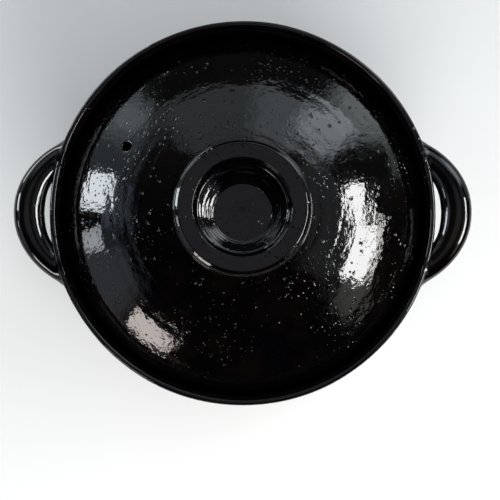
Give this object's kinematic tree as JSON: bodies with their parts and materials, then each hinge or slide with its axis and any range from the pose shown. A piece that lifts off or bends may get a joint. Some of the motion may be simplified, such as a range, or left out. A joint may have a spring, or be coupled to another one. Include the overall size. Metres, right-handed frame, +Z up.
{
  "type": "lidded clay cooking pot",
  "caption": "Round black-glazed clay pot with loop handles and a domed lid sunk in a deep collar, with a ring knob and a steam vent, for cooking rice or stew on a flame.",
  "frame": {"origin": "centre of the foot ring on the surface that the pot stands on", "axes": "+Z up along the pot's axis, +X through the right handle, +Y away from the cook"},
  "size_m": [0.347, 0.293, 0.189],
  "materials": {
    "black_glaze": "glossy black glaze with pinholes and a slight ripple",
    "bare_clay": "unglazed fired clay, matt and slightly gritty"
  },
  "bodies": {
    "pot": {"pot_body": "black_glaze", "handle_left": "black_glaze", "handle_right": "black_glaze"},
    "lid": {"lid_dome": "black_glaze", "lid_knob": "black_glaze"}
  },
  "joints": [
    {"name": "lid_lift", "type": "slide", "parent": "pot", "child": "lid", "axis": [0, 0, 1], "range_m": [0, 0.12]}
  ]
}
